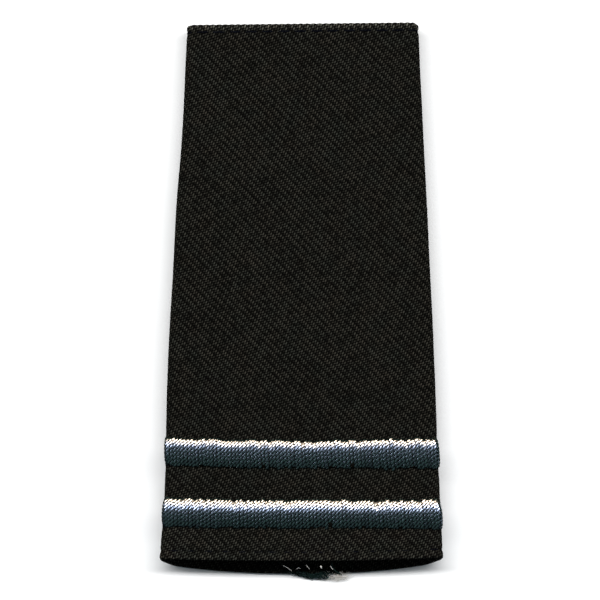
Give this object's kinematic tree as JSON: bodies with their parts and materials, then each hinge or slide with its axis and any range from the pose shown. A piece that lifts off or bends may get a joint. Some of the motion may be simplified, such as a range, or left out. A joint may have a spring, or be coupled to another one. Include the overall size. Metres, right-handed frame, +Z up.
{
  "type": "slip-on shoulder board",
  "caption": "Slip-on shoulder board: a flat, tapered tube of black twill with two padded silver-grey rank bars.",
  "frame": {"origin": "under the middle of the board's bounding box, on the surface that it lies on", "axes": "+Y from the wide open mouth towards the narrow end, +X to the right seen from the face, +Z up out of the face"},
  "size_m": [0.0573, 0.111, 0.0078],
  "materials": {
    "cloth": "matte",
    "bar_thread": "satin"
  },
  "bodies": {
    "root": {"cloth_sleeve": "cloth", "upper_bar": "bar_thread", "lower_bar": "bar_thread"}
  },
  "joints": []
}
